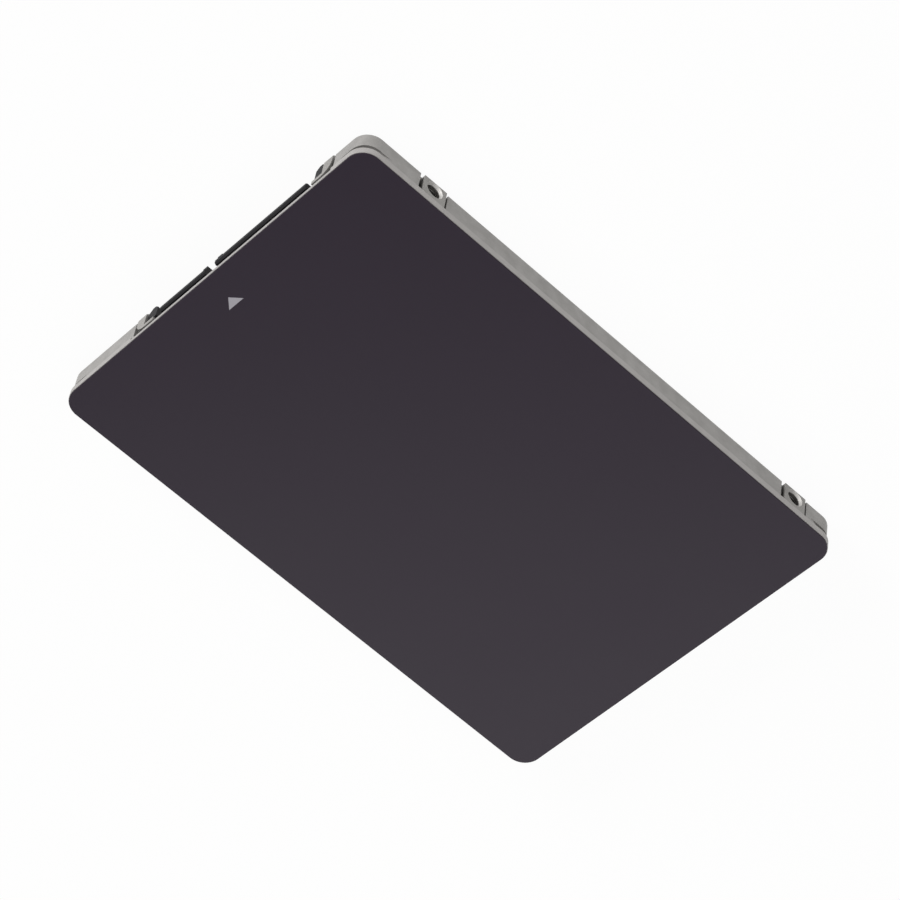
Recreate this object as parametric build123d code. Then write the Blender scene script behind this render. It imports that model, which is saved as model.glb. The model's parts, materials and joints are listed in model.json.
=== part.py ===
from build123d import *
import math
import os

# A 2.5-inch solid state drive, lying flat on its base, in millimetres.
# The origin is the middle of the resting face. X runs along the drive, with the connector
# at the -X end. Z points up to the black face.

# Case outline
LENGTH = 100.0
WIDTH = 69.85
HEIGHT = 7.0
FACE_CORNER_R = 3.3

# Layers from the top down
FILM_T = 0.2
FILM_INSET = 0.1
PLATE_T = 1.3
SHEET_T = 0.6

# Cover skirt, the reliefs at its corners, its screw windows and its connector notch
SKIRT_INSET = 0.3
SKIRT_LIFT = 1.55
RELIEF_H = 1.1
RELIEF_CORNER_R = 5.5
WINDOW_FRONT_GAP = 0.7
WINDOW_REAR_GAP = 0.4
NOTCH_GAP = 0.5
NOTCH_CORNER_R = 1.0
NOTCH_RIM_T = 0.65

# Cast base tray
BASE_INSET = 1.3
BASE_WALL = 1.1
BASE_EDGE = 0.7
FLOOR_T = 0.9

# Screw holes that fasten the drive, tapped M3, at the places that the form factor sets
FRONT_HOLE_INSET = 14.0
REAR_HOLE_INSET = 9.4
BOTTOM_HOLE_INSET = 4.065
SIDE_HOLE_Z = 3.0
MOUNT_HOLE_R = 1.25
SIDE_HOLE_DEPTH = 3.0
BOTTOM_HOLE_DEPTH = 2.5

# Bosses round those holes
PAD_W = 4.4
PAD_RECESS = 0.15
PAD_FIT = 0.1
PAD_FOOT_H = 1.4
SINK_R = 1.55
SINK_DEPTH = 0.5
BOSS_W = 5.6
BOSS_DEPTH = 6.6

# Connector cheeks of the base
CHEEK_W = 2.0
CHEEK_CORNER_R = 2.4
CHEEK_ROOF_GAP = 0.5
CHEEK_FOOT = 1.5

# Small screws, M2
SCREW_R = 1.0
SCREW_FIT = 0.02
SCREW_HOLE_R = 1.15
DRIVE_SLOT_W = 0.5
DRIVE_SLOT_L = 1.9
DRIVE_SLOT_DEPTH = 0.5

# Case screws, driven from below into hexagonal posts that are welded to the cover
CASE_HEAD_R = 1.9
CASE_SCREW_GRIP = 2.2
STANDOFF_FLATS = 3.4
STANDOFF_GAP = 0.6
STANDOFF_SPARE = 1.0
HEX_SIDES = 6

# Circuit board, the rests at its front and the posts and screws at its rear
BOARD_FRONT_INSET = 6.8
BOARD_L = 73.5
BOARD_SIDE_GAP = 8.4
BOARD_T = 1.0
BOARD_LIFT = 1.4
BOARD_POST_R = 2.3
BOARD_SCREW_SIDE = 3.0
BOARD_SCREW_REAR = 2.8
BOARD_REST_W = 4.0
BOARD_REST_FRONT = 6.7
BOARD_HEAD_R = 1.9
BOARD_HEAD_H = 1.0
BOARD_SCREW_GRIP = 1.2

# Combined data and power connector
PLUG_OFFSET = 4.8
TONGUE_Z = 3.5
TONGUE_T = 1.23
TONGUE_L = 5.1
TIP_RECESS = 0.12
TIP_CHAMFER = 0.3
DATA_W = 10.41
POWER_W = 20.57
KEY_SLOT_W = 2.41
KEY_T = 1.0
KEY_DROP = 0.9
PLUG_BODY_L = 4.0
PLUG_BODY_BOTTOM = 1.7
PLUG_BODY_ROOF_GAP = 0.15
EAR_GAP = 1.5
EAR_W = 2.0
EAR_RECESS = 0.5
EAR_BOTTOM = 0.5
EAR_TOP = 4.0
EAR_CHAMFER = 0.7
PLUG_SIDE_GAP = 0.2

# Contacts of the connector
CONTACT_PITCH = 1.27
CONTACT_W = 0.84
CONTACT_T = 0.25
CONTACT_PROUD = 0.06
CONTACT_EDGE = 1.1
CONTACT_TIP_EARLY = 0.45
CONTACT_TIP_LATE = 0.95
CONTACT_FOOT = 1.2
DATA_EARLY = (1, 4, 7)
POWER_EARLY = (4, 5, 6, 10, 12)
DATA_COUNT = 7
POWER_COUNT = 15

# Metal pegs that lock the connector to the board
LOCK_L = 1.2
LOCK_T = 0.4
LOCK_INSET = 1.0
LOCK_RISE = 0.8
LOCK_TAIL = 0.4
LOCK_FIT = 0.1

# Chips and small parts on the board
PACKAGE_H = 1.0
PACKAGE_BASE_H = 0.3
PACKAGE_STEP = 0.35
FLASH_L = 14.0
FLASH_W = 18.0
FLASH_COLUMNS = 2
FLASH_COLUMN_GAP = 2.0
FLASH_ROW_GAP = 5.0
CONTROLLER_W = 14.0
CONTROLLER_Y = 6.0
CACHE_L = 9.0
CACHE_W = 12.0
CACHE_GAP = 4.0
PAD_EDGE = 1.0
SMALL_PARTS_GAP = 2.0
POWER_CHIP_W = 4.0
POWER_CHIP_H = 0.85
POWER_CHIP_Y = -12.0
INDUCTOR_W = 3.2
INDUCTOR_H = 1.3
INDUCTOR_CHAMFER = 0.25
INDUCTOR_PITCH = 4.2
INDUCTOR_COUNT = 2
INDUCTOR_Y = -7.6
BOOT_L = 5.0
BOOT_W = 6.0
BOOT_H = 0.8
BOOT_Y = 3.0
CRYSTAL_L = 2.5
CRYSTAL_W = 3.2
CRYSTAL_H = 0.7
CRYSTAL_RIM = 0.25
CRYSTAL_Y = 10.0
BULK_L = 3.5
BULK_W = 2.8
BULK_H = 1.2
BULK_BEVEL = 0.4
BULK_PITCH = 3.6
BULK_COUNT = 4
CAP_L = 1.0
CAP_W = 0.5
CAP_H = 0.5
CAP_PITCH = 1.6
CAP_COUNT = 10
CAP_GAP = 0.8
RESISTOR_L = 1.0
RESISTOR_W = 0.5
RESISTOR_H = 0.35
RESISTOR_PITCH = 1.2
RESISTOR_COUNT = 8

# Heights that follow from the layers
plate_top = HEIGHT - FILM_T
cover_top = plate_top - PLATE_T
cover_under = cover_top - SHEET_T
board_bottom = FLOOR_T + BOARD_LIFT
board_top = board_bottom + BOARD_T
package_top = board_top + PACKAGE_H

# Places that follow from the outline
front = -LENGTH / 2
half_w = WIDTH / 2
cover_corner_r = FACE_CORNER_R - SKIRT_INSET
base_corner_r = FACE_CORNER_R - BASE_INSET
hole_xs = (front + FRONT_HOLE_INSET, -front - REAR_HOLE_INSET)
sides = (-1, 1)
base_inner = BASE_INSET + BASE_WALL
standoff_reach = BOSS_W / 2 + STANDOFF_GAP + STANDOFF_FLATS / 2
standoff_corner = STANDOFF_FLATS / math.sqrt(3)
case_screw_y = half_w - base_inner - STANDOFF_GAP - standoff_corner
case_screw_places = [
    (x, j * case_screw_y)
    for x in (hole_xs[0] + standoff_reach, hole_xs[1] - standoff_reach)
    for j in sides
]

board_front = front + BOARD_FRONT_INSET
board_rear = board_front + BOARD_L
board_w = WIDTH - 2 * BOARD_SIDE_GAP
board_screw_y = board_w / 2 - BOARD_SCREW_SIDE
board_screw_places = [(board_rear - BOARD_SCREW_REAR, j * board_screw_y) for j in sides]
board_rest_places = [(board_front + BOARD_REST_FRONT, j * board_screw_y) for j in sides]

# Places along the connector, from the data end to the power end
plug_w = DATA_W + KEY_SLOT_W + POWER_W
data_y0 = PLUG_OFFSET - plug_w / 2
data_y1 = data_y0 + DATA_W
power_y0 = data_y1 + KEY_SLOT_W
power_y1 = power_y0 + POWER_W
plug_half = plug_w / 2 + EAR_GAP + EAR_W
opening_half = plug_half + PLUG_SIDE_GAP
cheek_half = opening_half + CHEEK_W
notch_half = cheek_half + NOTCH_GAP
notch_depth = base_inner + NOTCH_GAP
tip_x = front + TIP_RECESS
plug_front = tip_x + TONGUE_L
plug_back = plug_front + PLUG_BODY_L
plug_roof = cover_under - PLUG_BODY_ROOF_GAP
tongue_under = TONGUE_Z - TONGUE_T / 2
tongue_over = TONGUE_Z + TONGUE_T / 2

# Places along the board, from the connector to the rear
small_x = plug_back + CONTACT_FOOT + SMALL_PARTS_GAP + BOOT_L / 2
resistor_x = small_x + BOOT_L / 2 + CAP_GAP + RESISTOR_L / 2
controller_x = resistor_x + RESISTOR_L / 2 + CAP_GAP + CONTROLLER_W / 2
cap_x = controller_x + CONTROLLER_W / 2 + CAP_GAP + CAP_L / 2
flash_front_x = cap_x + CAP_L / 2 + CAP_GAP + FLASH_L / 2
flash_xs = [flash_front_x + i * (FLASH_L + FLASH_COLUMN_GAP) for i in range(FLASH_COLUMNS)]
flash_ys = [j * (FLASH_ROW_GAP + FLASH_W) / 2 for j in sides]
cache_y = CONTROLLER_Y - CONTROLLER_W / 2 - CACHE_GAP - CACHE_W / 2
bulk_y = cache_y - CACHE_W / 2 - CAP_GAP - BULK_L / 2


def block(x0, x1, y0, y1, z0, z1):
    """A box between two corners."""
    middle = Pos((x0 + x1) / 2, (y0 + y1) / 2, (z0 + z1) / 2)
    return middle * Box(x1 - x0, y1 - y0, z1 - z0)


def post(x, y, z0, z1, radius):
    """An upright cylinder."""
    return Pos(x, y, (z0 + z1) / 2) * Cylinder(radius, z1 - z0)


def slab(length, width, z0, z1, radius):
    """A flat plate with rounded corners."""
    return extrude(Pos(0, 0, z0) * RectangleRounded(length, width, radius), z1 - z0)


def arch(width, z0, z1, radius):
    """An upright outline with a flat foot and two rounded upper corners."""
    outline = Pos(0, (z0 + z1) / 2) * Rectangle(width, z1 - z0)
    return fillet(outline.vertices().group_by(Axis.Y)[-1], radius)


def face_film():
    """The black film on the face."""
    length = LENGTH - 2 * FILM_INSET
    width = WIDTH - 2 * FILM_INSET
    return slab(length, width, plate_top, HEIGHT, FACE_CORNER_R - FILM_INSET)


def face_plate():
    """The flat plate under the film, thinned to a rim over the connector."""
    y0 = PLUG_OFFSET - notch_half
    y1 = PLUG_OFFSET + notch_half
    plate = slab(LENGTH, WIDTH, cover_top, plate_top, FACE_CORNER_R)
    return plate - block(front, front + notch_depth, y0, y1, cover_top, plate_top - NOTCH_RIM_T)


def screw_window(x, side):
    """A cut through the skirt and the bend above it, open below, that clears one screw pad."""
    depth = SKIRT_INSET + SHEET_T
    y = side * (half_w - depth / 2)
    x0 = x - PAD_W / 2 - WINDOW_FRONT_GAP
    x1 = x + PAD_W / 2 + WINDOW_REAR_GAP
    return block(x0, x1, y - depth / 2, y + depth / 2, 0, cover_top)


def plug_notch():
    """The cut at the front of the cover, open below, that clears the connector and its cheeks."""
    outline = arch(2 * notch_half, 0, cover_top, NOTCH_CORNER_R)
    return Pos(front, PLUG_OFFSET, 0) * extrude(Plane.YZ * outline, notch_depth)


def top_cover():
    """A folded sheet cover: flat top, skirt all round, relieved corners, windows and notch."""
    length = LENGTH - 2 * SKIRT_INSET
    width = WIDTH - 2 * SKIRT_INSET
    relief_z = cover_top - RELIEF_H
    shell = slab(length, width, SKIRT_LIFT, relief_z, cover_corner_r)
    shell += slab(length, width, relief_z, cover_top, RELIEF_CORNER_R)
    inner_l = length - 2 * SHEET_T
    inner_w = width - 2 * SHEET_T
    shell -= slab(inner_l, inner_w, SKIRT_LIFT, cover_under, cover_corner_r - SHEET_T)
    shell -= [screw_window(x, side) for x in hole_xs for side in sides]
    return shell - plug_notch()


def cover_standoff(x, y):
    """A hexagonal post under the cover, bored from below for its screw."""
    outline = Rot(0, 0, 180 / HEX_SIDES) * RegularPolygon(STANDOFF_FLATS / 2, HEX_SIDES, major_radius=False)
    body = extrude(Pos(x, y, FLOOR_T) * outline, cover_under - FLOOR_T)
    bore_top = FLOOR_T + CASE_SCREW_GRIP + STANDOFF_SPARE
    return body - post(x, y, FLOOR_T, bore_top, SCREW_R + SCREW_FIT)


def screw_boss(x, side):
    """The block behind one pair of mounting holes, and the pad that fills the window up to the plate."""
    inner = half_w - BOSS_DEPTH
    wall = half_w - BASE_INSET
    face = half_w - PAD_RECESS
    boss = block(x - BOSS_W / 2, x + BOSS_W / 2, inner, wall - BASE_WALL / 2, FLOOR_T / 2, cover_under)
    pad_top = cover_top - PAD_FIT
    pad_back = half_w - SKIRT_INSET - SHEET_T + PAD_FIT
    lower = [(inner, 0), (wall - BASE_EDGE, 0), (wall, BASE_EDGE), (wall, PAD_FOOT_H), (face, PAD_FOOT_H)]
    upper = [(face, pad_top), (pad_back, pad_top), (pad_back, cover_under), (inner, cover_under)]
    section = Polyline(*lower, *upper, close=True)
    boss += Pos(x, 0, 0) * extrude(Plane.YZ * make_face(section), PAD_W / 2, both=True)
    return boss if side > 0 else mirror(boss, Plane.XZ)


def mount_holes(x, side):
    """The side hole with its countersink, and the bottom hole, of one boss."""
    face = half_w - PAD_RECESS
    turn = Rot(side * 90, 0, 0)
    middle = side * (face - SIDE_HOLE_DEPTH / 2)
    across = Pos(x, middle, SIDE_HOLE_Z) * turn * Cylinder(MOUNT_HOLE_R, SIDE_HOLE_DEPTH)
    mouth = side * (face - SINK_DEPTH / 2)
    sink = Pos(x, mouth, SIDE_HOLE_Z) * turn * Cone(SINK_R, MOUNT_HOLE_R, SINK_DEPTH)
    upright = post(x, side * (half_w - BOTTOM_HOLE_INSET), 0, BOTTOM_HOLE_DEPTH, MOUNT_HOLE_R)
    return [across, sink, upright]


def plug_cheek(side):
    """The raised end of the base wall beside the connector, which hooks over the guide ear."""
    near = plug_w / 2 + EAR_GAP
    top = cover_top - CHEEK_ROOF_GAP
    outline = Pos((near + cheek_half) / 2, top / 2) * Rectangle(cheek_half - near, top)
    corner = outline.vertices().group_by(Axis.Y)[-1].sort_by(Axis.X)[-1]
    outline = fillet(corner, CHEEK_CORNER_R)
    cheek = extrude(Plane.YZ * outline, base_inner - PAD_RECESS)
    cheek -= block(0, base_inner, near, opening_half, 0, EAR_TOP + PLUG_SIDE_GAP)
    foot = cheek.edges().filter_by(Axis.Y).group_by(Axis.Z)[0]
    cheek = chamfer(foot.sort_by(Axis.X)[0], CHEEK_FOOT)
    if side < 0:
        cheek = mirror(cheek, Plane.XZ)
    return Pos(front + PAD_RECESS, PLUG_OFFSET, 0) * cheek


def board_rest(x, y):
    """A square pad on the floor that the board lies on."""
    half = BOARD_REST_W / 2
    return block(x - half, x + half, y - half, y + half, FLOOR_T / 2, board_bottom)


def base_tray():
    """The cast tray: floor, walls, screw bosses, board supports and the connector opening."""
    tray = slab(LENGTH - 2 * BASE_INSET, WIDTH - 2 * BASE_INSET, 0, cover_under, base_corner_r)
    tray = chamfer(tray.faces().sort_by(Axis.Z)[0].edges(), BASE_EDGE)
    inner_x = LENGTH / 2 - base_inner
    inner_y = half_w - base_inner
    tray -= block(-inner_x, inner_x, -inner_y, inner_y, FLOOR_T, cover_under)
    tray += [screw_boss(x, side) for x in hole_xs for side in sides]
    tray += [board_rest(x, y) for x, y in board_rest_places]
    tray += [post(x, y, FLOOR_T / 2, board_bottom, BOARD_POST_R) for x, y in board_screw_places]

    y0 = PLUG_OFFSET - opening_half
    y1 = PLUG_OFFSET + opening_half
    tray -= block(front, front + base_inner, y0, y1, 0, cover_under)
    tray -= block(front, plug_front + PLUG_SIDE_GAP, y0, y1, 0, FLOOR_T)
    tray += [plug_cheek(side) for side in sides]

    for x in hole_xs:
        for side in sides:
            tray -= mount_holes(x, side)
    for x, y in board_screw_places:
        tray -= post(x, y, FLOOR_T, board_bottom, SCREW_R + SCREW_FIT)
    for x, y in case_screw_places:
        tray -= screw_cone(x, y, SCREW_FIT)
    return tray


def screw_cone(x, y, fit=0.0):
    """The head of one case screw, which tapers through the floor, or its seat when a fit is given."""
    return Pos(x, y, FLOOR_T / 2) * Cone(CASE_HEAD_R + fit, SCREW_R + fit, FLOOR_T)


def drive_recess(x, y, z0, z1):
    """A cross-shaped driver recess."""
    half_l = DRIVE_SLOT_L / 2
    half_t = DRIVE_SLOT_W / 2
    along = block(x - half_l, x + half_l, y - half_t, y + half_t, z0, z1)
    across = block(x - half_t, x + half_t, y - half_l, y + half_l, z0, z1)
    return along + across


def case_screw(x, y):
    """A countersunk screw, driven from below."""
    screw = screw_cone(x, y) + post(x, y, FLOOR_T, FLOOR_T + CASE_SCREW_GRIP, SCREW_R)
    return screw - drive_recess(x, y, 0, DRIVE_SLOT_DEPTH)


def board_screw(x, y):
    """A pan-head screw that clamps the board to its post."""
    head_top = board_top + BOARD_HEAD_H
    screw = post(x, y, board_top, head_top, BOARD_HEAD_R)
    screw += post(x, y, board_bottom - BOARD_SCREW_GRIP, board_top, SCREW_R)
    return screw - drive_recess(x, y, head_top - DRIVE_SLOT_DEPTH, head_top)


def lock_box(side, fit=0.0):
    """The outline of one connector peg, or of its hole when a fit is given."""
    x = (board_front + plug_back) / 2
    y = PLUG_OFFSET + side * (plug_half - LOCK_INSET)
    half_l = LOCK_L / 2 + fit
    half_t = LOCK_T / 2 + fit
    z0 = board_bottom - LOCK_TAIL
    z1 = board_top + LOCK_RISE
    return block(x - half_l, x + half_l, y - half_t, y + half_t, z0, z1)


def circuit_board():
    """The board, drilled for its screws and the connector's pegs."""
    board = block(board_front, board_rear, -board_w / 2, board_w / 2, board_bottom, board_top)
    board -= [post(x, y, board_bottom, board_top, SCREW_HOLE_R) for x, y in board_screw_places]
    return board - [lock_box(side, LOCK_FIT) for side in sides]


def contact(y, tip_gap):
    """One contact: a run under the tongue, a riser in the body and a foot on the board."""
    y0 = y - CONTACT_W / 2
    y1 = y + CONTACT_W / 2
    run_bottom = tongue_under - CONTACT_PROUD
    run_top = run_bottom + CONTACT_T
    foot_top = board_top + CONTACT_T
    riser = plug_front + CONTACT_T
    run = block(tip_x + tip_gap, riser + CONTACT_T, y0, y1, run_bottom, run_top)
    rise = block(riser, riser + CONTACT_T, y0, y1, min(run_bottom, board_top), max(run_top, foot_top))
    foot = block(riser, plug_back + CONTACT_FOOT, y0, y1, board_top, foot_top)
    return run + rise + foot


def contact_row(count, first_y, step, early):
    """A row of contacts, where those that mate first reach nearer to the tip."""
    row = []
    for number in range(1, count + 1):
        gap = CONTACT_TIP_EARLY if number in early else CONTACT_TIP_LATE
        row.append(contact(first_y + (number - 1) * step, gap))
    return row


def data_contacts():
    """The seven data contacts, counted from the outer end."""
    return contact_row(DATA_COUNT, data_y0 + CONTACT_EDGE, CONTACT_PITCH, DATA_EARLY)


def power_contacts():
    """The fifteen power contacts, counted from the outer end."""
    return contact_row(POWER_COUNT, power_y1 - CONTACT_EDGE, -CONTACT_PITCH, POWER_EARLY)


def tongue(y0, y1, key_y0):
    """One contact blade with a chamfered tip and the downward leg that keys it."""
    blade = block(tip_x, plug_front, y0, y1, tongue_under, tongue_over)
    blade = chamfer(blade.edges().filter_by(Axis.Y).group_by(Axis.X)[0], TIP_CHAMFER)
    key_tip = tip_x + TIP_CHAMFER
    key = block(key_tip, plug_front, key_y0, key_y0 + KEY_T, tongue_under - KEY_DROP, TONGUE_Z)
    return blade + key


def guide_ear(side):
    """One end guide, a bar with bevelled edges beside the tongues."""
    y = PLUG_OFFSET + side * (plug_half - EAR_W / 2)
    outline = Pos(y, (EAR_BOTTOM + EAR_TOP) / 2) * Rectangle(EAR_W, EAR_TOP - EAR_BOTTOM)
    outline = chamfer(outline.vertices(), EAR_CHAMFER)
    ear = extrude(Plane.YZ * outline, plug_front - front - EAR_RECESS)
    return Pos(front + EAR_RECESS, 0, 0) * ear


def sata_housing():
    """The moulded connector body, stepped to sit on the board's front edge."""
    y0 = PLUG_OFFSET - plug_half
    y1 = PLUG_OFFSET + plug_half
    housing = block(plug_front, plug_back, y0, y1, PLUG_BODY_BOTTOM, plug_roof)
    housing -= block(board_front - LOCK_FIT, plug_back, y0, y1, PLUG_BODY_BOTTOM, board_top)
    housing += tongue(data_y0, data_y1, data_y1 - KEY_T)
    housing += tongue(power_y0, power_y1, power_y0)
    housing += [guide_ear(side) for side in sides]
    housing -= data_contacts() + power_contacts()
    return housing - [lock_box(side) for side in sides]


def package(x, y, length, width, height):
    """A moulded chip on its carrier, one component."""
    carrier = block(x - length / 2, x + length / 2, y - width / 2, y + width / 2,
                    board_top, board_top + PACKAGE_BASE_H)
    cap_l = length / 2 - PACKAGE_STEP
    cap_w = width / 2 - PACKAGE_STEP
    return carrier + block(x - cap_l, x + cap_l, y - cap_w, y + cap_w, board_top, board_top + height)


def flash_pad(x):
    """A soft pad from one column of flash chips up to the cover."""
    half_l = FLASH_L / 2 - PAD_EDGE
    reach = FLASH_ROW_GAP / 2 + FLASH_W - PAD_EDGE
    return block(x - half_l, x + half_l, -reach, reach, package_top, cover_under)


def controller_pad():
    """A soft pad from the controller up to the cover."""
    half = CONTROLLER_W / 2 - PAD_EDGE
    y = CONTROLLER_Y
    return block(controller_x - half, controller_x + half, y - half, y + half, package_top, cover_under)


def power_inductor(y):
    """A moulded coil with bevelled upper edges."""
    half = INDUCTOR_W / 2
    coil = block(small_x - half, small_x + half, y - half, y + half, board_top, board_top + INDUCTOR_H)
    return chamfer(coil.faces().sort_by(Axis.Z)[-1].edges(), INDUCTOR_CHAMFER)


def clock_crystal():
    """A metal can on a thin ceramic foot."""
    foot_l = CRYSTAL_L / 2
    foot_w = CRYSTAL_W / 2
    foot = block(small_x - foot_l, small_x + foot_l, CRYSTAL_Y - foot_w, CRYSTAL_Y + foot_w,
                 board_top, board_top + CRYSTAL_H / 2)
    can_l = foot_l - CRYSTAL_RIM
    can_w = foot_w - CRYSTAL_RIM
    return foot + block(small_x - can_l, small_x + can_l, CRYSTAL_Y - can_w, CRYSTAL_Y + can_w,
                        board_top, board_top + CRYSTAL_H)


def small_block(x, y, length, width, height):
    """A tiny two-ended component that lies on the board."""
    half_l = length / 2
    half_t = width / 2
    return block(x - half_l, x + half_l, y - half_t, y + half_t, board_top, board_top + height)


def bulk_capacitors():
    """A row of moulded capacitors, each with one bevelled edge at its positive end."""
    row = []
    for number in range(BULK_COUNT):
        x = controller_x + (number - (BULK_COUNT - 1) / 2) * BULK_PITCH
        body = small_block(x, bulk_y, BULK_W, BULK_L, BULK_H)
        upper = body.edges().filter_by(Axis.X).group_by(Axis.Z)[-1]
        row.append(chamfer(upper.sort_by(Axis.Y)[0], BULK_BEVEL))
    return row


def ceramic_capacitors():
    """A row of ceramic capacitors beside each chip of the front flash column."""
    row = []
    for middle in flash_ys:
        for number in range(CAP_COUNT):
            y = middle + (number - (CAP_COUNT - 1) / 2) * CAP_PITCH
            row.append(small_block(cap_x, y, CAP_L, CAP_W, CAP_H))
    return row


def chip_resistors():
    """A row of flat resistors beside the controller."""
    row = []
    for number in range(RESISTOR_COUNT):
        y = CONTROLLER_Y + (number - (RESISTOR_COUNT - 1) / 2) * RESISTOR_PITCH
        row.append(small_block(resistor_x, y, RESISTOR_L, RESISTOR_W, RESISTOR_H))
    return row


nodes = {
    "face_film": [face_film()],
    "face_plate": [face_plate()],
    "top_cover": [top_cover()],
    "cover_standoffs": [cover_standoff(x, y) for x, y in case_screw_places],
    "base_tray": [base_tray()],
    "case_screws": [case_screw(x, y) for x, y in case_screw_places],
    "circuit_board": [circuit_board()],
    "board_screws": [board_screw(x, y) for x, y in board_screw_places],
    "sata_housing": [sata_housing()],
    "sata_data_contacts": data_contacts(),
    "sata_power_contacts": power_contacts(),
    "sata_board_locks": [lock_box(side) for side in sides],
    "controller_chip": [package(controller_x, CONTROLLER_Y, CONTROLLER_W, CONTROLLER_W, PACKAGE_H)],
    "cache_chip": [package(controller_x, cache_y, CACHE_L, CACHE_W, PACKAGE_H)],
    "power_chip": [package(small_x, POWER_CHIP_Y, POWER_CHIP_W, POWER_CHIP_W, POWER_CHIP_H)],
    "boot_chip": [package(small_x, BOOT_Y, BOOT_L, BOOT_W, BOOT_H)],
    "clock_crystal": [clock_crystal()],
    "bulk_capacitors": bulk_capacitors(),
    "ceramic_capacitors": ceramic_capacitors(),
    "chip_resistors": chip_resistors(),
    "controller_thermal_pad": [controller_pad()],
}
for column, x in enumerate(flash_xs):
    nodes[f"flash_thermal_pad_{column + 1}"] = [flash_pad(x)]
    for row, y in enumerate(flash_ys):
        nodes[f"flash_chip_{2 * column + row + 1}"] = [package(x, y, FLASH_L, FLASH_W, PACKAGE_H)]
for number in range(INDUCTOR_COUNT):
    nodes[f"power_inductor_{number + 1}"] = [power_inductor(INDUCTOR_Y + number * INDUCTOR_PITCH)]

os.makedirs("parts", exist_ok=True)
for name, pieces in nodes.items():
    solids = [solid for piece in pieces for solid in piece.solids()]
    export_step(solids[0] if len(solids) == 1 else Compound(children=solids), f"parts/{name}.step")
    print(name, len(solids), round(sum(solid.volume for solid in solids), 2))
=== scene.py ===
# %% [markdown]
# A 2.5-inch solid state drive is a flat closed case: a cast tray below, a folded sheet cover over it,
# and on top a flat plate with a black film. The imported model already holds every solid at its real
# size, so this lesson only adds what solids can't say: finishes, print, threads and light.
# We load that model first and keep its box.

# %% Load the solids
import json
import math

import bmesh
import bpy
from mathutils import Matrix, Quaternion, Vector


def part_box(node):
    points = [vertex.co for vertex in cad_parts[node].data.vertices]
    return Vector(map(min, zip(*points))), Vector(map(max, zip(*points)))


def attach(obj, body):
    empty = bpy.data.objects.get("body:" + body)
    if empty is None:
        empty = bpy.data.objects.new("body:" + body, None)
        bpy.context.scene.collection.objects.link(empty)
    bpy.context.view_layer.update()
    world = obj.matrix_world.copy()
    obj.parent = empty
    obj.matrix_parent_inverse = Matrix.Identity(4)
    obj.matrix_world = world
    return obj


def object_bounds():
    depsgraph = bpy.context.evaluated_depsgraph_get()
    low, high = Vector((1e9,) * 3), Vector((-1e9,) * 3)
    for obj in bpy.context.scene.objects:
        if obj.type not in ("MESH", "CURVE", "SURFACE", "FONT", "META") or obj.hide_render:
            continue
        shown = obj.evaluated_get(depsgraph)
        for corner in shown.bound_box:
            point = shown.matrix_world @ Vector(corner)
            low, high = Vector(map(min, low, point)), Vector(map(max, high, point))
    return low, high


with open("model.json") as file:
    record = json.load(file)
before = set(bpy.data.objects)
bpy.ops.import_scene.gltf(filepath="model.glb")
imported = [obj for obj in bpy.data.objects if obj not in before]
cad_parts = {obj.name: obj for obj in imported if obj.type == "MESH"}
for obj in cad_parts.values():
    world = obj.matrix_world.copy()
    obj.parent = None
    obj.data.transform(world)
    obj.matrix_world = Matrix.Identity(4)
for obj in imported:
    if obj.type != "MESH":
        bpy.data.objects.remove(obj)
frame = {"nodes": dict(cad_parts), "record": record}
cad_box = [list(corner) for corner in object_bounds()]
nodes = frame["nodes"]
scene = bpy.context.scene
MM = 0.001
print("solids to dress:", len(nodes), "box in mm:", [[round(v / MM, 2) for v in c] for c in cad_box])

# %% [markdown]
# The camera looks down on the connector corner from far away through a long lens, which keeps the
# long edges almost parallel. It is also rolled nearly upside down, so that the connector end, which
# is nearest to the lens, stands at the top of the picture. Aim, distance, turn, rise and roll say
# that in words a photographer uses, and one place and one rotation are made from them.

# %% Camera
AIM_MM = Vector((-3.25, 3.89, 7.0))
CAMERA_DISTANCE_MM = 590.8
CAMERA_TURN = math.radians(124.62)
CAMERA_RISE = math.radians(51.91)
CAMERA_ROLL = math.radians(-169.07)
LENS_MM = 154.06
NEAREST_SEEN_MM = 10.0

backward = Vector((
    math.cos(CAMERA_RISE) * math.cos(CAMERA_TURN),
    math.cos(CAMERA_RISE) * math.sin(CAMERA_TURN),
    math.sin(CAMERA_RISE),
))
camera = bpy.data.objects.new("camera", bpy.data.cameras.new("camera"))
scene.collection.objects.link(camera)
camera.location = (AIM_MM + backward * CAMERA_DISTANCE_MM) * MM
camera.rotation_mode = "QUATERNION"
camera.rotation_quaternion = (-backward).to_track_quat("-Z", "Y") @ Quaternion((0, 0, 1), CAMERA_ROLL)
camera.data.lens = LENS_MM
camera.data.clip_start = NEAREST_SEEN_MM * MM
scene.camera = camera
print("camera stands at, in mm:", [round(v / MM, 1) for v in camera.location])

# %% [markdown]
# Every finish below is a small tree of shader nodes. Two helpers keep those trees short. One turns the
# hex colour that a colour picker gives into the linear numbers that Blender works in, and one adds any
# node with its settings and links. The Mix node has sockets of the same names for numbers and for
# colours, so those for colours are called by their places in the list.

# %% Colours and nodes
COLOUR_A = 6
COLOUR_B = 7
COLOUR_RESULT = 2


def linear(hex_colour):
    """The linear colour of an sRGB hex value, by the sRGB standard's own curve."""
    channels = [int(hex_colour[i:i + 2], 16) / 255 for i in (1, 3, 5)]
    steps = [c / 12.92 if c <= 0.04045 else ((c + 0.055) / 1.055) ** 2.4 for c in channels]
    return (*steps, 1.0)


def add(tree, kind, inputs=None, **settings):
    """Adds one node, with its settings, and fills or links its inputs by name or number."""
    node = tree.nodes.new(kind)
    for name, value in settings.items():
        setattr(node, name, value)
    for socket, value in (inputs or {}).items():
        if isinstance(value, bpy.types.NodeSocket):
            tree.links.new(value, node.inputs[socket])
        else:
            node.inputs[socket].default_value = value
    return node


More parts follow.
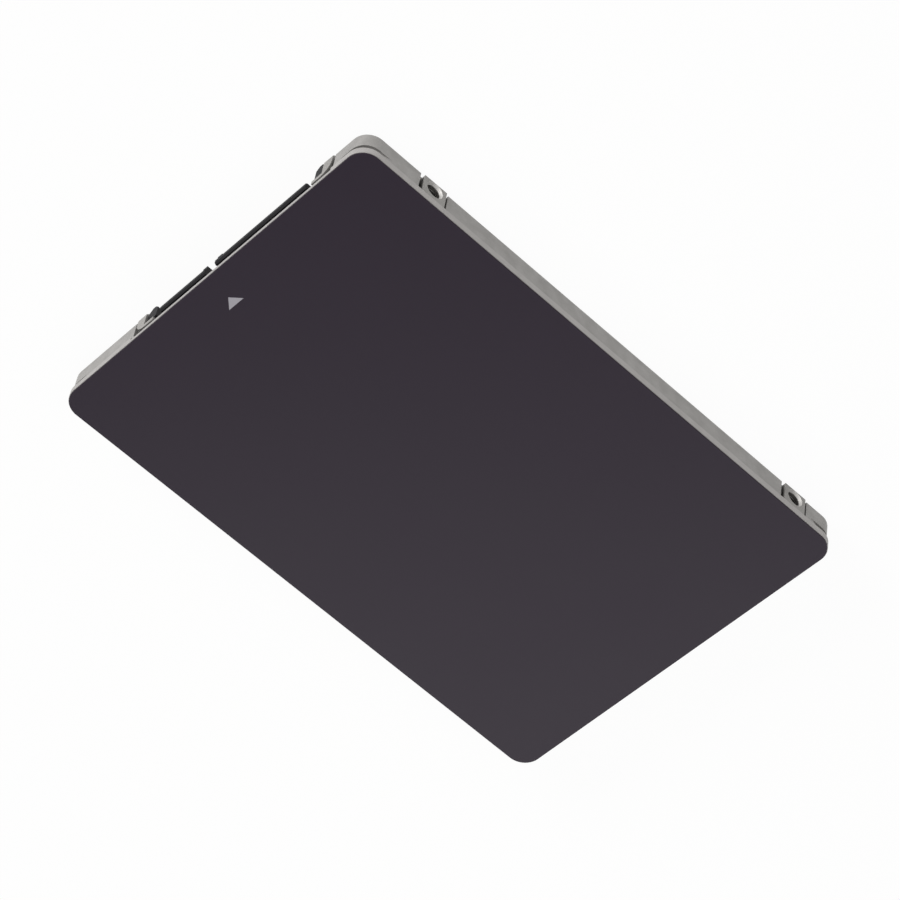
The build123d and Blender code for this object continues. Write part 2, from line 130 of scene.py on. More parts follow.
print("a mid grey, as Blender sees it:", [round(v, 3) for v in linear("#808080")])

# %% [markdown]
# The drive's finishes start and end alike: an empty tree, and a principled shader with its output. Most
# also need an uneven pattern, and noise gives one whose grains have a real size in millimetres. It
# reads Object coordinates, so it stays put when the drive is moved.

# %% Start, grain and close of a finish


def start_finish(name):
    """An empty material and its tree."""
    material = bpy.data.materials.new(name)
    material.use_nodes = True
    material.node_tree.nodes.clear()
    return material, material.node_tree


def grain(tree, size_mm, stretch=(1.0, 1.0, 1.0), detail=2.0):
    """Noise with grains of this size, drawn out along each axis whose stretch is under 1."""
    place = add(tree, "ShaderNodeTexCoord").outputs["Object"]
    drawn = add(tree, "ShaderNodeMapping", {"Vector": place, "Scale": stretch}).outputs["Vector"]
    scale = 1 / (size_mm * MM)
    noise = add(tree, "ShaderNodeTexNoise", {"Vector": drawn, "Scale": scale, "Detail": detail})
    return noise.outputs["Fac"]


def close_finish(tree, **inputs):
    """The principled shader and the output that end a tree; words in a name are joined by _."""
    sockets = {name.replace("_", " "): value for name, value in inputs.items()}
    shader = add(tree, "ShaderNodeBsdfPrincipled", sockets)
    add(tree, "ShaderNodeOutputMaterial", {"Surface": shader.outputs["BSDF"]})


# %% [markdown]
# The face is a polyester film, printed black and matt. It could be one dark colour, but a real film
# is never even: its matt coat is a fine grain that spreads the light, and over centimetres the ink
# goes a little thicker and thinner. So the grain goes into the bump, and the slow clouds go into
# colour and roughness. Real matting grains are a few hundredths of a millimetre, too fine to show in
# the picture, so they are drawn coarser.

# %% Black film
THICK_INK = "#1B101F"
THIN_INK = "#1F1423"
INK_CLOUD_MM = 22.0
FILM_ROUGHNESS = (0.36, 0.42)
FILM_SPECULAR = 0.17
FILM_GRAIN_MM = 0.3
FILM_GRAIN_DEPTH_MM = 0.02
FILM_GRAIN_STRENGTH = 0.1


def satin_black_film():
    """Polyester film with a matt coat: soft, wide reflections and a slight purple cast."""
    material, tree = start_finish("satin_black_film")
    cloud = grain(tree, INK_CLOUD_MM)
    inks = {"Factor": cloud, COLOUR_A: linear(THICK_INK), COLOUR_B: linear(THIN_INK)}
    ink = add(tree, "ShaderNodeMix", inks, data_type="RGBA")
    low, high = FILM_ROUGHNESS
    rough = add(tree, "ShaderNodeMapRange", {"Value": cloud, "To Min": low, "To Max": high})
    tooth = add(tree, "ShaderNodeBump", {
        "Height": grain(tree, FILM_GRAIN_MM),
        "Strength": FILM_GRAIN_STRENGTH,
        "Distance": FILM_GRAIN_DEPTH_MM * MM,
    })
    close_finish(
        tree,
        Base_Color=ink.outputs[COLOUR_RESULT],
        Roughness=rough.outputs["Result"],
        Specular_IOR_Level=FILM_SPECULAR,
        Normal=tooth.outputs["Normal"],
    )
    return material


black_film = satin_black_film()
print("finish made:", black_film.name)

# %% [markdown]
# Three light metals meet at the sides. The plate shows only its cut edge, so its marks run along the
# edge, as a blade or a cutter leaves them. The cover is folded sheet, blasted to a satin that hides
# finger marks. The tray is a pressure casting, with a coarser skin and a greyer tone. Each is
# aluminium under an oxide skin that dulls it, so they share a shader that is only about half metallic,
# and they differ in tone, in roughness and in the size of their marks. Real blast pits are under a
# tenth of a millimetre, too fine to show in the picture, so they are drawn three or four times as
# coarse.

# %% Light metals
CUT_MARK_MM = 0.12
CUT_MARK_STRETCH = (0.02, 0.02, 1.0)
BLAST_GRAIN_MM = 0.35
BLAST_CLOUD_MM = 2.0
CLOUD_DETAIL = 6.0
OXIDE_METALLIC = 0.45
METAL_MARK_STRENGTH = 0.4


def satin_metal(name, dark, light, marks, cloud_mm, roughness, depth_mm, painted_shade_and_cuts=None):
    """Aluminium with a dull oxide skin: tone and gloss drift with the cloud, marks go in the bump.

    Noise seldom comes near its ends, so the two tones lie further apart than the metal shows.
    """
    material, tree = start_finish(name)
    drift = grain(tree, cloud_mm, detail=CLOUD_DETAIL)
    tones = {"Factor": drift, COLOUR_A: linear(dark), COLOUR_B: linear(light)}
    tone = add(tree, "ShaderNodeMix", tones, data_type="RGBA").outputs[COLOUR_RESULT]
    low, high = roughness
    gloss = {"Value": drift, "To Min": low, "To Max": high}
    rough = add(tree, "ShaderNodeMapRange", gloss).outputs["Result"]
    if painted_shade_and_cuts:
        tone, rough = painted_shade_and_cuts(tree, tone, rough)
    relief = add(tree, "ShaderNodeBump", {
        "Height": grain(tree, *marks),
        "Strength": METAL_MARK_STRENGTH,
        "Distance": depth_mm * MM,
    })
    close_finish(
        tree,
        Base_Color=tone,
        Metallic=OXIDE_METALLIC,
        Roughness=rough,
        Normal=relief.outputs["Normal"],
    )
    return material


cut_plate = satin_metal(
    "cut_aluminium_edge",
    dark="#8D8A88",
    light="#A7A4A2",
    marks=(CUT_MARK_MM, CUT_MARK_STRETCH),
    cloud_mm=BLAST_CLOUD_MM,
    roughness=(0.38, 0.46),
    depth_mm=0.02,
)
blasted_cover = satin_metal(
    "blasted_aluminium_sheet",
    dark="#7A7875",
    light="#9F9D9B",
    marks=(BLAST_GRAIN_MM,),
    cloud_mm=BLAST_CLOUD_MM,
    roughness=(0.42, 0.52),
    depth_mm=0.06,
)
print("finishes made:", cut_plate.name, blasted_cover.name)

# %% [markdown]
# The tray's slots and holes are painted darker than its outer faces: painted shade, standing in for the
# shade that falls in recesses. That could be painted by hand on a map of the tray, but a rule holds for
# every recess at once: the deeper a point lies inside the tray's sides, and above the cover's lower
# edge, the darker it is painted. The box for that is endlessly tall, because the top of the tray lies
# under the cover.

# %% Painted shade by depth inside the tray
# How deep a point lies before the painted recess shade begins, and how deep before it is full.
UNSHADED_TO_MM = 0.05
FULL_SHADE_FROM_MM = 0.5
ENDLESS_HEIGHT_M = 2.0


def recess_shade_mask(tree):
    """The mask of the painted recess shade: 0 on the tray's sides and below the cover's skirt, and 1
    where a point lies well inside both.
    """
    low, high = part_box("base_tray")
    low.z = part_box("top_cover")[0].z
    high.z = low.z + ENDLESS_HEIGHT_M
    place = add(tree, "ShaderNodeTexCoord").outputs["Object"]
    middle = {0: place, 1: (low + high) / 2}
    from_middle = add(tree, "ShaderNodeVectorMath", middle, operation="SUBTRACT").outputs["Vector"]
    folded = add(tree, "ShaderNodeVectorMath", {0: from_middle}, operation="ABSOLUTE").outputs["Vector"]
    faces = {0: (high - low) / 2, 1: folded}
    inset = add(tree, "ShaderNodeVectorMath", faces, operation="SUBTRACT").outputs["Vector"]
    depths = add(tree, "ShaderNodeSeparateXYZ", {"Vector": inset}).outputs
    sides = add(tree, "ShaderNodeMath", {0: depths["X"], 1: depths["Y"]}, operation="MINIMUM")
    pair = {0: sides.outputs["Value"], 1: depths["Z"]}
    nearest = add(tree, "ShaderNodeMath", pair, operation="MINIMUM").outputs["Value"]
    fade = {"Value": nearest, "From Min": UNSHADED_TO_MM * MM, "From Max": FULL_SHADE_FROM_MM * MM}
    return add(tree, "ShaderNodeMapRange", fade).outputs["Result"]


# %% [markdown]
# The side holes' countersinks are cut after tumbling, so they show fresh bright metal. On each cone, a
# point's distance from the hole's axis lies between two radii, so the finish only has to ask for that
# band. The record's bolt patterns are symmetrical, so one absolute value folds both holes of a row into
# one, and leaving out the axis along the hole does the same for both sides of the drive.

# %% Countersinks
COUNTERSINK_FROM_MM = 1.28
COUNTERSINK_TO_MM = 1.56
mounts = {mount["name"]: mount for mount in frame["record"]["mounts"]}


def in_countersinks(tree):
    """1 on the cone at the mouth of each side hole, and 0 on nearly all the rest of the casting."""
    row = mounts["side_screw_holes_plus_y"]
    place = add(tree, "ShaderNodeTexCoord").outputs["Object"]
    middle = {0: place, 1: (row["pos_m"][0], 0, row["pos_m"][2])}
    from_middle = add(tree, "ShaderNodeVectorMath", middle, operation="SUBTRACT").outputs["Vector"]
    folded = add(tree, "ShaderNodeVectorMath", {0: from_middle}, operation="ABSOLUTE").outputs["Vector"]
    axis = {0: folded, 1: (row["dims"]["spacing_x_mm"] / 2 * MM, 0, 0)}
    from_axis = add(tree, "ShaderNodeVectorMath", axis, operation="SUBTRACT").outputs["Vector"]
    across = add(tree, "ShaderNodeVectorMath", {0: from_axis, 1: (1, 0, 1)}, operation="MULTIPLY")
    radius = add(tree, "ShaderNodeVectorMath", {0: across.outputs["Vector"]}, operation="LENGTH")
    band_middle = (COUNTERSINK_FROM_MM + COUNTERSINK_TO_MM) / 2 * MM
    band_half = (COUNTERSINK_TO_MM - COUNTERSINK_FROM_MM) / 2 * MM
    band = {0: radius.outputs["Value"], 1: band_middle, 2: band_half}
    return add(tree, "ShaderNodeMath", band, operation="COMPARE").outputs["Value"]


print("side holes lie apart by, in mm:", mounts["side_screw_holes_plus_y"]["dims"]["spacing_x_mm"])

# %% [markdown]
# The tray's finish is the satin metal from above with a coarser grain, as a die leaves it. Painted
# shade in the recesses and the fresh cuts are laid over its tone, and the cuts also change its gloss.

# %% Cast tray
CAST_GRAIN_MM = 0.6
CAST_CLOUD_MM = 3.0
# Painted shade: the tone that the tray's recesses are darkened towards.
RECESS_SHADE = "#4A4846"
FRESH_CUT = "#B9B7B4"
FRESH_CUT_ROUGHNESS = 0.6


def recess_shade_and_cuts(tree, tone, rough):
    """The painted shade that darkens the tray's recesses, and the bright cut of the countersinks."""
    # The tone goes darker by depth inside the tray: painted shade, not a coat that the metal has.
    shade_tones = {"Factor": recess_shade_mask(tree), COLOUR_A: tone, COLOUR_B: linear(RECESS_SHADE)}
    skin = add(tree, "ShaderNodeMix", shade_tones, data_type="RGBA").outputs[COLOUR_RESULT]
    fresh = in_countersinks(tree)
    tones = {"Factor": fresh, COLOUR_A: skin, COLOUR_B: linear(FRESH_CUT)}
    cut_tone = add(tree, "ShaderNodeMix", tones, data_type="RGBA").outputs[COLOUR_RESULT]
    gloss = {"Factor": fresh, "A": rough, "B": FRESH_CUT_ROUGHNESS}
    cut_rough = add(tree, "ShaderNodeMix", gloss).outputs["Result"]
    return cut_tone, cut_rough


cast_tray = satin_metal(
    "cast_aluminium_painted_shade",
    dark="#767471",
    light="#9C9A97",
    marks=(CAST_GRAIN_MM,),
    cloud_mm=CAST_CLOUD_MM,
    roughness=(0.46, 0.58),
    depth_mm=0.08,
    painted_shade_and_cuts=recess_shade_and_cuts,
)
print("finish made:", cast_tray.name)

# %% [markdown]
# The connector is moulded from a black glass-filled plastic that stands the heat of soldering. It is
# matt, and the glass shows as a fine speckle along the flow of the mould, which is along the drive.

# %% Connector plastic
PLASTIC_DARK = "#121113"
PLASTIC_LIGHT = "#1A191B"
PLASTIC_ROUGHNESS = 0.55
PLASTIC_SPECULAR = 0.15
FLOW_MARK_MM = 0.25
FLOW_STRETCH = (0.25, 1.0, 1.0)
FLOW_MARK_DEPTH_MM = 0.02
FLOW_MARK_STRENGTH = 0.2


def moulded_black_plastic():
    """Glass-filled moulding: near black, dull, with faint flow marks."""
    material, tree = start_finish("moulded_black_plastic")
    flow = grain(tree, FLOW_MARK_MM, FLOW_STRETCH)
    tones = {"Factor": flow, COLOUR_A: linear(PLASTIC_DARK), COLOUR_B: linear(PLASTIC_LIGHT)}
    tone = add(tree, "ShaderNodeMix", tones, data_type="RGBA")
    relief = add(tree, "ShaderNodeBump", {
        "Height": flow,
        "Strength": FLOW_MARK_STRENGTH,
        "Distance": FLOW_MARK_DEPTH_MM * MM,
    })
    close_finish(
        tree,
        Base_Color=tone.outputs[COLOUR_RESULT],
        Roughness=PLASTIC_ROUGHNESS,
        Specular_IOR_Level=PLASTIC_SPECULAR,
        Normal=relief.outputs["Normal"],
    )
    return material


connector_plastic = moulded_black_plastic()
print("finish made:", connector_plastic.name)

# %% [markdown]
# Bright metals sit on and under the board: gold on the contacts, tin on the pegs and the crystal's
# can, zinc-plated steel for the screws and the posts that they hold. Their colour is their reflection,
# so each has full metal and its own tint. Plating follows the metal below, so faint rolling or turning
# marks go into the bump and the gloss.

# %% Plated metals
ROLLING_MARK_MM = 0.1
ROLLING_STRETCH = (0.1, 1.0, 1.0)
TURNING_MARK_MM = 0.15
TURNING_STRETCH = (1.0, 1.0, 0.2)
PLATED_MARK_DEPTH_MM = 0.01
PLATED_MARK_STRENGTH = 0.15


def plated_metal(name, tint, marks, roughness):
    """A thin bright plating whose gloss shows the marks of the metal under it."""
    material, tree = start_finish(name)
    lines = grain(tree, *marks)
    low, high = roughness
    rough = add(tree, "ShaderNodeMapRange", {"Value": lines, "To Min": low, "To Max": high})
    relief = add(tree, "ShaderNodeBump", {
        "Height": lines,
        "Strength": PLATED_MARK_STRENGTH,
        "Distance": PLATED_MARK_DEPTH_MM * MM,
    })
    close_finish(
        tree,
        Base_Color=linear(tint),
        Metallic=1.0,
        Roughness=rough.outputs["Result"],
        Normal=relief.outputs["Normal"],
    )
    return material


rolled = (ROLLING_MARK_MM, ROLLING_STRETCH)
turned = (TURNING_MARK_MM, TURNING_STRETCH)
gold_flash = plated_metal("gold_flash", tint="#D8AE5E", marks=rolled, roughness=(0.18, 0.3))
tin_plate = plated_metal("tin_plate", tint="#BDBDB8", marks=rolled, roughness=(0.28, 0.42))
zinc_steel = plated_metal("zinc_plated_steel", tint="#B4B6B8", marks=turned, roughness=(0.25, 0.4))
print("finishes made:", gold_flash.name, tin_plate.name, zinc_steel.name)

# %% [markdown]
# The board is glass cloth in resin under a green lacquer. Copper tracks run below the lacquer and
# lift it by a few hundredths of a millimetre, so they show as slightly lighter, raised lines. A
# wave texture gives parallel tracks, and a slow noise switches it off where there is only lacquer.
# Blender's wave texture multiplies each place by 20 before it takes the sine, so at a scale of 1 it
# makes 20 waves in two pi units.

# %% Board lacquer
BARE_LACQUER = "#0F3D26"
LACQUER_ON_COPPER = "#2C7048"
LACQUER_ROUGHNESS = 0.32
TRACK_PITCH_MM = 0.8
TRACK_LIFT_MM = 0.03
TRACK_STRENGTH = 0.4
TRACK_PATCH_MM = 9.0
NO_TRACKS_BELOW = 0.48
TRACKS_FROM = 0.54
WAVES_A_UNIT = 20 / math.tau


def green_lacquer():
    """Solder lacquer over copper tracks: glossy, deep green, lighter over the copper."""
    material, tree = start_finish("green_board_lacquer")
    place = add(tree, "ShaderNodeTexCoord").outputs["Object"]
    scale = 1 / (TRACK_PITCH_MM * MM * WAVES_A_UNIT)
    waves = add(tree, "ShaderNodeTexWave", {"Vector": place, "Scale": scale}, bands_direction="Y")
    patch = {"Value": grain(tree, TRACK_PATCH_MM), "From Min": NO_TRACKS_BELOW, "From Max": TRACKS_FROM}
    patches = add(tree, "ShaderNodeMapRange", patch).outputs["Result"]
    pair = {0: waves.outputs["Fac"], 1: patches}
    tracks = add(tree, "ShaderNodeMath", pair, operation="MULTIPLY").outputs["Value"]
    tones = {"Factor": tracks, COLOUR_A: linear(BARE_LACQUER), COLOUR_B: linear(LACQUER_ON_COPPER)}
    tone = add(tree, "ShaderNodeMix", tones, data_type="RGBA")
    relief = add(tree, "ShaderNodeBump", {
        "Height": tracks,
        "Strength": TRACK_STRENGTH,
        "Distance": TRACK_LIFT_MM * MM,
    })
    close_finish(
        tree,
        Base_Color=tone.outputs[COLOUR_RESULT],
        Roughness=LACQUER_ROUGHNESS,
        Normal=relief.outputs["Normal"],
    )
    return material


board_lacquer = green_lacquer()
print("finish made:", board_lacquer.name)

# %% [markdown]
# The small parts on the board are mouldings: black resin on the chips, grey iron powder on the coils,
# dark brown resin on the large capacitors and a soft grey silicone for the heat pads. They differ in
# colour, in the size of their filler grains and in gloss, so one recipe serves them all.

# %% Mouldings on the board
FILLER_DETAIL = 4.0
FILLER_STRENGTH = 0.3


def filled_moulding(name, dark, light, grain_mm, roughness, depth_mm):
    """A moulding whose filler shows as grains in its colour and its surface."""
    material, tree = start_finish(name)
    filler = grain(tree, grain_mm, detail=FILLER_DETAIL)
    tones = {"Factor": filler, COLOUR_A: linear(dark), COLOUR_B: linear(light)}
    tone = add(tree, "ShaderNodeMix", tones, data_type="RGBA")
    relief = add(tree, "ShaderNodeBump", {
        "Height": filler,
        "Strength": FILLER_STRENGTH,
        "Distance": depth_mm * MM,
    })
    close_finish(
        tree,
        Base_Color=tone.outputs[COLOUR_RESULT],
        Roughness=roughness,
        Normal=relief.outputs["Normal"],
    )
    return material


chip_resin = filled_moulding(
    "black_chip_resin", dark="#1E1E20", light="#2C2C2E", grain_mm=0.12, roughness=0.55, depth_mm=0.01,
)
coil_powder = filled_moulding(
    "pressed_iron_powder", dark="#3A3B3E", light="#55565A", grain_mm=0.2, roughness=0.6, depth_mm=0.02,
)
capacitor_resin = filled_moulding(
    "brown_capacitor_resin", dark="#332F2C", light="#3E3A35", grain_mm=0.25, roughness=0.5, depth_mm=0.01,
)
pad_silicone = filled_moulding(
    "grey_silicone_pad", dark="#7E8A93", light="#929DA5", grain_mm=0.4, roughness=0.8, depth_mm=0.03,
)
print("finishes made:", chip_resin.name, coil_powder.name, capacitor_resin.name, pad_silicone.name)

# %% [markdown]
# The ceramic capacitors lie in one line across the board, so their tinned ends share the same two
# places along it. The frame gives that line's box, and the finish turns from tan ceramic to tin
# where a point lies near either end of it.

# %% Ceramic capacitors
TAN_CERAMIC = "#8A6A4C"
DULL_TIN = "#B9B8B3"
CERAMIC_ROUGHNESS = 0.4
END_BAND_MM = 0.25


def banded_ceramic():
    """Tan fired ceramic with a dull tin band at both ends of each capacitor."""
    material, tree = start_finish("banded_ceramic")
    low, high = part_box("ceramic_capacitors")
    place = add(tree, "ShaderNodeTexCoord").outputs["Object"]
    along = add(tree, "ShaderNodeSeparateXYZ", {"Vector": place}).outputs["X"]
    middle = (low.x + high.x) / 2
    offset = add(tree, "ShaderNodeMath", {0: along, 1: middle}, operation="SUBTRACT").outputs["Value"]
    apart = add(tree, "ShaderNodeMath", {0: offset}, operation="ABSOLUTE").outputs["Value"]
    edge = (high.x - low.x) / 2 - END_BAND_MM * MM
    band = add(tree, "ShaderNodeMath", {0: apart, 1: edge}, operation="GREATER_THAN").outputs["Value"]
    tones = {"Factor": band, COLOUR_A: linear(TAN_CERAMIC), COLOUR_B: linear(DULL_TIN)}
    tone = add(tree, "ShaderNodeMix", tones, data_type="RGBA")
    close_finish(tree, Base_Color=tone.outputs[COLOUR_RESULT], Metallic=band, Roughness=CERAMIC_ROUGHNESS)
    return material


capacitor_ceramic = banded_ceramic()
print("finish made:", capacitor_ceramic.name)

# %% [markdown]
# Each solid came in with a plain material, and the record names the slot that it belongs to. We put
# our finish for that slot into the solid's own material slots and leave its mesh alone.

# %% Put the finishes on the solids
finish_of_slot = {
    "black_film": black_film,
    "plate_aluminium": cut_plate,
    "cover_aluminium": blasted_cover,
    "cast_aluminium": cast_tray,
    "steel": zinc_steel,
    "board_laminate": board_lacquer,
    "connector_plastic": connector_plastic,
    "gold_contacts": gold_flash,
    "tinned_metal": tin_plate,
    "chip_resin": chip_resin,
    "ferrite": coil_powder,
    "capacitor_resin": capacitor_resin,
    "capacitor_ceramic": capacitor_ceramic,
    "thermal_pad": pad_silicone,
}
for subpart in frame["record"]["subparts"]:
    for slot in nodes[subpart["node"]].material_slots:
        slot.material = finish_of_slot[subpart["material_slot"]]

# %% [markdown]
# A small triangle is printed on the film and points at the connector. Print has almost no height, but
# a mesh needs some, so it is a prism of a hundredth of a millimetre that stands on the film's face.
# Its tip and its base line are given as distances from the connector end of the drive.

# %% Printed direction mark
MARK_TIP_MM = 4.6
MARK_BASE_MM = 6.25
MARK_MIDDLE_Y_MM = -0.23
MARK_WIDTH_MM = 3.28
MARK_HEIGHT_MM = 0.01
INK_DARK = "#96939A"
INK_LIGHT = "#A29FA6"
INK_ROUGHNESS = 0.6
INK_SPECKLE_MM = 0.2


def grey_print_ink():
    """Screen-printed ink: opaque light grey, dull, with the mesh of the screen as a faint speckle."""
    material, tree = start_finish("grey_print_ink")
    speckle = grain(tree, INK_SPECKLE_MM)
    tones = {"Factor": speckle, COLOUR_A: linear(INK_DARK), COLOUR_B: linear(INK_LIGHT)}
    tone = add(tree, "ShaderNodeMix", tones, data_type="RGBA")
    close_finish(tree, Base_Color=tone.outputs[COLOUR_RESULT], Roughness=INK_ROUGHNESS)
    return material


def prism(name, corners, bottom, top):
    """A closed flat prism over these corners, given counter-clockwise from above."""
    form = bmesh.new()
    lower = [form.verts.new((x, y, bottom)) for x, y in corners]
    upper = [form.verts.new((x, y, top)) for x, y in corners]
    form.faces.new(upper)
    form.faces.new(lower[::-1])
    for i in range(len(corners)):
        j = (i + 1) % len(corners)
        form.faces.new((lower[i], lower[j], upper[j], upper[i]))
    mesh = bpy.data.meshes.new(name)
    form.to_mesh(mesh)
    form.free()
    piece = bpy.data.objects.new(name, mesh)
    scene.collection.objects.link(piece)
    return piece


film_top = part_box("face_film")[1].z
connector_end = cad_box[0][0]
tip_x = connector_end + MARK_TIP_MM * MM
base_x = connector_end + MARK_BASE_MM * MM
mark_y = MARK_MIDDLE_Y_MM * MM
half_mark = MARK_WIDTH_MM / 2 * MM
mark_corners = [(tip_x, mark_y), (base_x, mark_y - half_mark), (base_x, mark_y + half_mark)]
mark = prism("direction_mark", mark_corners, film_top, film_top + MARK_HEIGHT_MM * MM)
mark.data.materials.append(grey_print_ink())
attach(mark, "root")
print("printed mark spans, in mm:", [round(v / MM, 2) for v in mark.dimensions])

# %% [markdown]
# The eight M3 holes are tapped. A tapped hole could be a bump on its wall, but its turns catch light
# as real edges, so they are a mesh: one helix, swept with a small four-sided profile and set into
# every hole. Holes repeat, so Geometry Nodes do the work. The input mesh is only one point in each
# hole, where the thread starts, with the direction into the metal as an attribute.

# %% Thread tree
STEPS_A_TURN = 24
PROFILE_CORNERS = 4


def thread_tree():
    """A tree that sets one helical ridge into a hole, from each point where a thread starts."""
    tree = bpy.data.node_groups.new("tapped_thread", "GeometryNodeTree")
    sockets = {
        "Starts": "NodeSocketGeometry",
        "Hole Radius": "NodeSocketFloat",
        "Pitch": "NodeSocketFloat",
        "Turns": "NodeSocketFloat",
        "Ridge": "NodeSocketFloat",
        "Finish": "NodeSocketMaterial",
    }
    for name, kind in sockets.items():
        tree.interface.new_socket(name=name, in_out="INPUT", socket_type=kind)
    tree.interface.new_socket(name="Threads", in_out="OUTPUT", socket_type="NodeSocketGeometry")
    given = add(tree, "NodeGroupInput").outputs
    rise = add(tree, "ShaderNodeMath", {0: given["Pitch"], 1: given["Turns"]}, operation="MULTIPLY")
    helix = add(tree, "GeometryNodeCurveSpiral", {
        "Resolution": STEPS_A_TURN,
        "Rotations": given["Turns"],
        "Start Radius": given["Hole Radius"],
        "End Radius": given["Hole Radius"],
        "Height": rise.outputs["Value"],
    })
    profile = add(tree, "GeometryNodeCurvePrimitiveCircle", {
        "Resolution": PROFILE_CORNERS,
        "Radius": given["Ridge"],
    })
    ridge = add(tree, "GeometryNodeCurveToMesh", {
        "Curve": helix.outputs["Curve"],
        "Profile Curve": profile.outputs["Curve"],
        "Fill Caps": True,
    })
    inward = add(tree, "GeometryNodeInputNamedAttribute", {"Name": "inward"}, data_type="FLOAT_VECTOR")
    direction = {"Vector": inward.outputs["Attribute"]}
    turned = add(tree, "FunctionNodeAlignRotationToVector", direction, axis="Z")
    threads = add(tree, "GeometryNodeInstanceOnPoints", {
        "Points": given["Starts"],
        "Instance": ridge.outputs["Mesh"],
        "Rotation": turned.outputs["Rotation"],
    })
    real = add(tree, "GeometryNodeRealizeInstances", {"Geometry": threads.outputs["Instances"]})
    finished = add(tree, "GeometryNodeSetMaterial", {
        "Geometry": real.outputs["Geometry"],
        "Material": given["Finish"],
    })
    add(tree, "NodeGroupOutput", {"Threads": finished.outputs["Geometry"]})
    return tree


thread_nodes = thread_tree()
print("nodes in the thread tree:", len(thread_nodes.nodes))

# %% [markdown]
# The record's bolt patterns give every hole's place, direction and radius, so nothing is measured
# twice. The points go into a seed mesh, the tree grows the threads on it, and the result is kept as a
# plain mesh, because a live modifier would not travel with the drive.

# %% Tapped threads
THREAD_PITCH_MM = 0.5
THREAD_TURNS = 3.5
THREAD_RIDGE_MM = 0.12
FIRST_TURN_MM = 0.55


def thread_starts(pattern):
    """Where the thread starts in each hole of a bolt pattern, and the direction into the metal."""
    inward = -Vector(pattern["axis"])
    half_x = pattern["dims"]["spacing_x_mm"] / 2 * MM
    half_y = pattern["dims"].get("spacing_y_mm", 0) / 2 * MM
    starts = []
    for y in sorted({-half_y, half_y}):
        for x in (-half_x, half_x):
            mouth = Vector(pattern["pos_m"]) + Vector((x, y, 0))
            starts.append((mouth + inward * FIRST_TURN_MM * MM, inward))
    return starts


bolt_patterns = [mount for mount in mounts.values() if mount["kind"] == "bolt_pattern"]
starts = [start for pattern in bolt_patterns for start in thread_starts(pattern)]
seed_mesh = bpy.data.meshes.new("thread_starts")
seed_mesh.from_pydata([place for place, _ in starts], [], [])
inward_values = seed_mesh.attributes.new("inward", "FLOAT_VECTOR", "POINT")
for value, (_, inward) in zip(inward_values.data, starts):
    value.vector = inward
seed = bpy.data.objects.new("thread_seed", seed_mesh)
scene.collection.objects.link(seed)
modifier = seed.modifiers.new("threads", "NODES")
modifier.node_group = thread_nodes
thread_sizes = {
    "Hole Radius": bolt_patterns[0]["dims"]["hole_r_mm"] * MM,
    "Pitch": THREAD_PITCH_MM * MM,
    "Turns": THREAD_TURNS,
    "Ridge": THREAD_RIDGE_MM * MM,
    # The threads take the tray's finish, so they get its painted shade where they lie inside the tray's
    # sides and above the cover's lower edge.
    "Finish": cast_tray,
}
for socket in thread_nodes.interface.items_tree:
    if socket.name in thread_sizes:
        modifier[socket.identifier] = thread_sizes[socket.name]
depsgraph = bpy.context.evaluated_depsgraph_get()
thread_mesh = bpy.data.meshes.new_from_object(seed.evaluated_get(depsgraph))
bpy.data.objects.remove(seed)
threads = bpy.data.objects.new("tapped_threads", thread_mesh)
scene.collection.objects.link(threads)
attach(threads, "root")
print("tapped holes:", len(starts), "thread faces:", len(thread_mesh.polygons))

# %% [markdown]
# The drive lies on a plain pale floor. To the camera and to shiny surfaces the floor is almost pure
# white, as paper is in a product picture, but a share of it still takes the lamps' light, so the
# drive keeps its soft shadow. That share is a mix of a diffuse and an emitting shader, and the Light
# Path node says which rays ask.

# %% Floor
FLOOR_HALF_M = 3.0
FLOOR_DROP_MM = 0.05
FLOOR_WHITE_SHARE = 0.95
PAPER = "#F4F3F1"
WHITE = "#FFFFFF"


def seen_rays(tree):
    """1 for rays from the camera, from a reflection or through glass, and 0 for rays of light."""
    path = add(tree, "ShaderNodeLightPath").outputs
    pair = {0: path["Is Camera Ray"], 1: path["Is Glossy Ray"]}
    seen = add(tree, "ShaderNodeMath", pair, operation="MAXIMUM").outputs["Value"]
    pair = {0: seen, 1: path["Is Transmission Ray"]}
    return add(tree, "ShaderNodeMath", pair, operation="MAXIMUM").outputs["Value"]


def white_paper():
    """Matt white paper that looks nearly white and still shows a soft shadow."""
    material, tree = start_finish("white_paper_floor")
    lit = add(tree, "ShaderNodeBsdfDiffuse", {"Color": linear(PAPER)}).outputs["BSDF"]
    white = add(tree, "ShaderNodeEmission", {"Color": linear(WHITE)}).outputs["Emission"]
    pair = {0: seen_rays(tree), 1: FLOOR_WHITE_SHARE}
    share = add(tree, "ShaderNodeMath", pair, operation="MULTIPLY").outputs["Value"]
    mixed = add(tree, "ShaderNodeMixShader", {0: share, 1: lit, 2: white}).outputs["Shader"]
    add(tree, "ShaderNodeOutputMaterial", {"Surface": mixed})
    return material


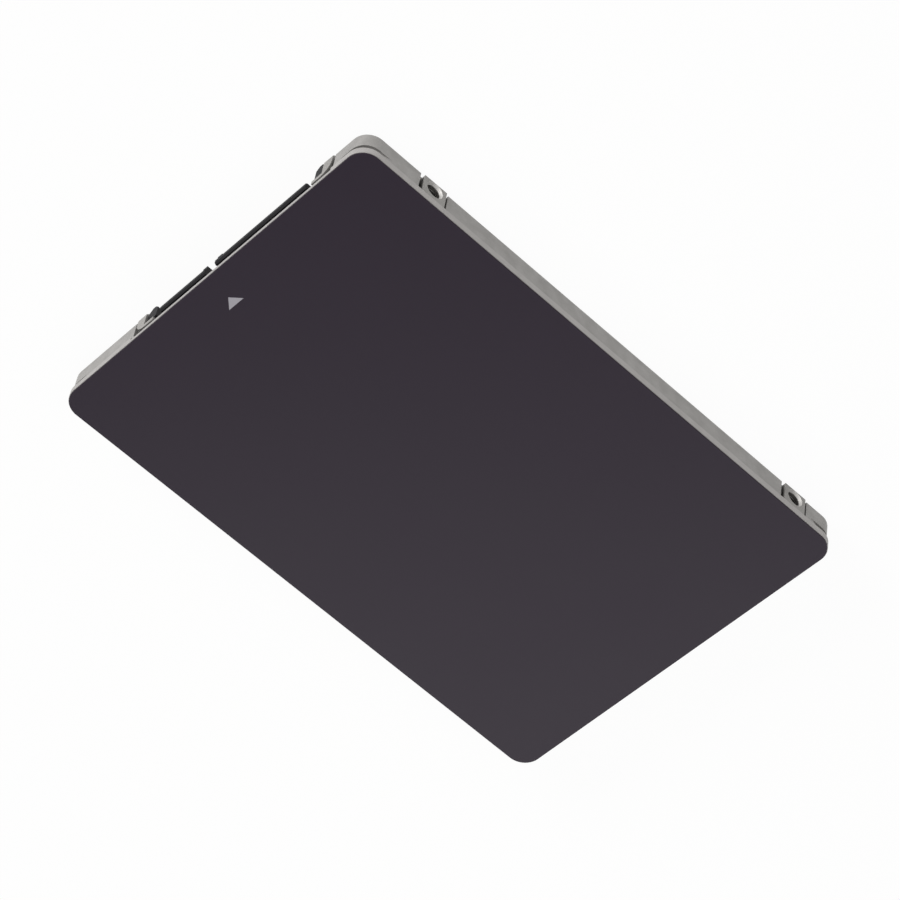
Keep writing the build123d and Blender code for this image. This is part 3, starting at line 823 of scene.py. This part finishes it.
drop = cad_box[0][2] - FLOOR_DROP_MM * MM
corner_signs = [(-1, -1), (1, -1), (1, 1), (-1, 1)]
floor_corners = [(x * FLOOR_HALF_M, y * FLOOR_HALF_M, drop) for x, y in corner_signs]
floor_mesh = bpy.data.meshes.new("floor")
floor_mesh.from_pydata(floor_corners, [], [(0, 1, 2, 3)])
floor_mesh.materials.append(white_paper())
floor = bpy.data.objects.new("floor", floor_mesh)
scene.collection.objects.link(floor)
print("floor lies under the drive by, in mm:", FLOOR_DROP_MM)

# %% [markdown]
# The room around the drive does two jobs. As a light it is a dim even glow that fills the shadows. As
# a sight, for the camera and for reflections, it is plain white. The same Light Path test chooses.

# %% Surroundings
SURROUND_LIGHT = 0.35
BACKDROP_LIGHT = 1.0

world = bpy.data.worlds.new("white_studio")
scene.world = world
world.use_nodes = True
room = world.node_tree
room.nodes.clear()
glow = {"Color": linear(WHITE), "Strength": SURROUND_LIGHT}
around = add(room, "ShaderNodeBackground", glow).outputs["Background"]
sight = {"Color": linear(WHITE), "Strength": BACKDROP_LIGHT}
backdrop = add(room, "ShaderNodeBackground", sight).outputs["Background"]
shown = add(room, "ShaderNodeMixShader", {0: seen_rays(room), 1: around, 2: backdrop})
add(room, "ShaderNodeOutputWorld", {"Surface": shown.outputs["Shader"]})
print("surrounding light, where the backdrop is 1:", SURROUND_LIGHT)

# %% [markdown]
# Three soft lamps shape the metal. The strongest stands low off the connector end, so that end is the
# brightest wall. A weak one above the long side keeps that wall a step darker. A narrow strip stands
# behind the far corner, where the satin film mirrors it, so the film grows lighter towards that side.
# The Standard view then shows colours as they are written.

# %% Lamps


def soft_lamp(name, place_m, width_m, height_m, power_w):
    """A soft box that faces the drive."""
    lamp = bpy.data.lights.new(name, "AREA")
    lamp.shape = "RECTANGLE"
    lamp.size = width_m
    lamp.size_y = height_m
    lamp.energy = power_w
    holder = bpy.data.objects.new(name, lamp)
    holder.location = place_m
    holder.rotation_mode = "QUATERNION"
    holder.rotation_quaternion = (-Vector(place_m)).to_track_quat("-Z", "Y")
    scene.collection.objects.link(holder)


soft_lamp("connector_side_box", place_m=(-0.84, 0.2, 0.22), width_m=0.4, height_m=0.4, power_w=8.6)
soft_lamp("front_fill_box", place_m=(0.1, 0.62, 0.74), width_m=0.4, height_m=0.4, power_w=0.9)
soft_lamp("far_corner_strip", place_m=(0.241, -0.2245, 0.307), width_m=0.5, height_m=0.12, power_w=0.65)
scene.view_settings.view_transform = "Standard"
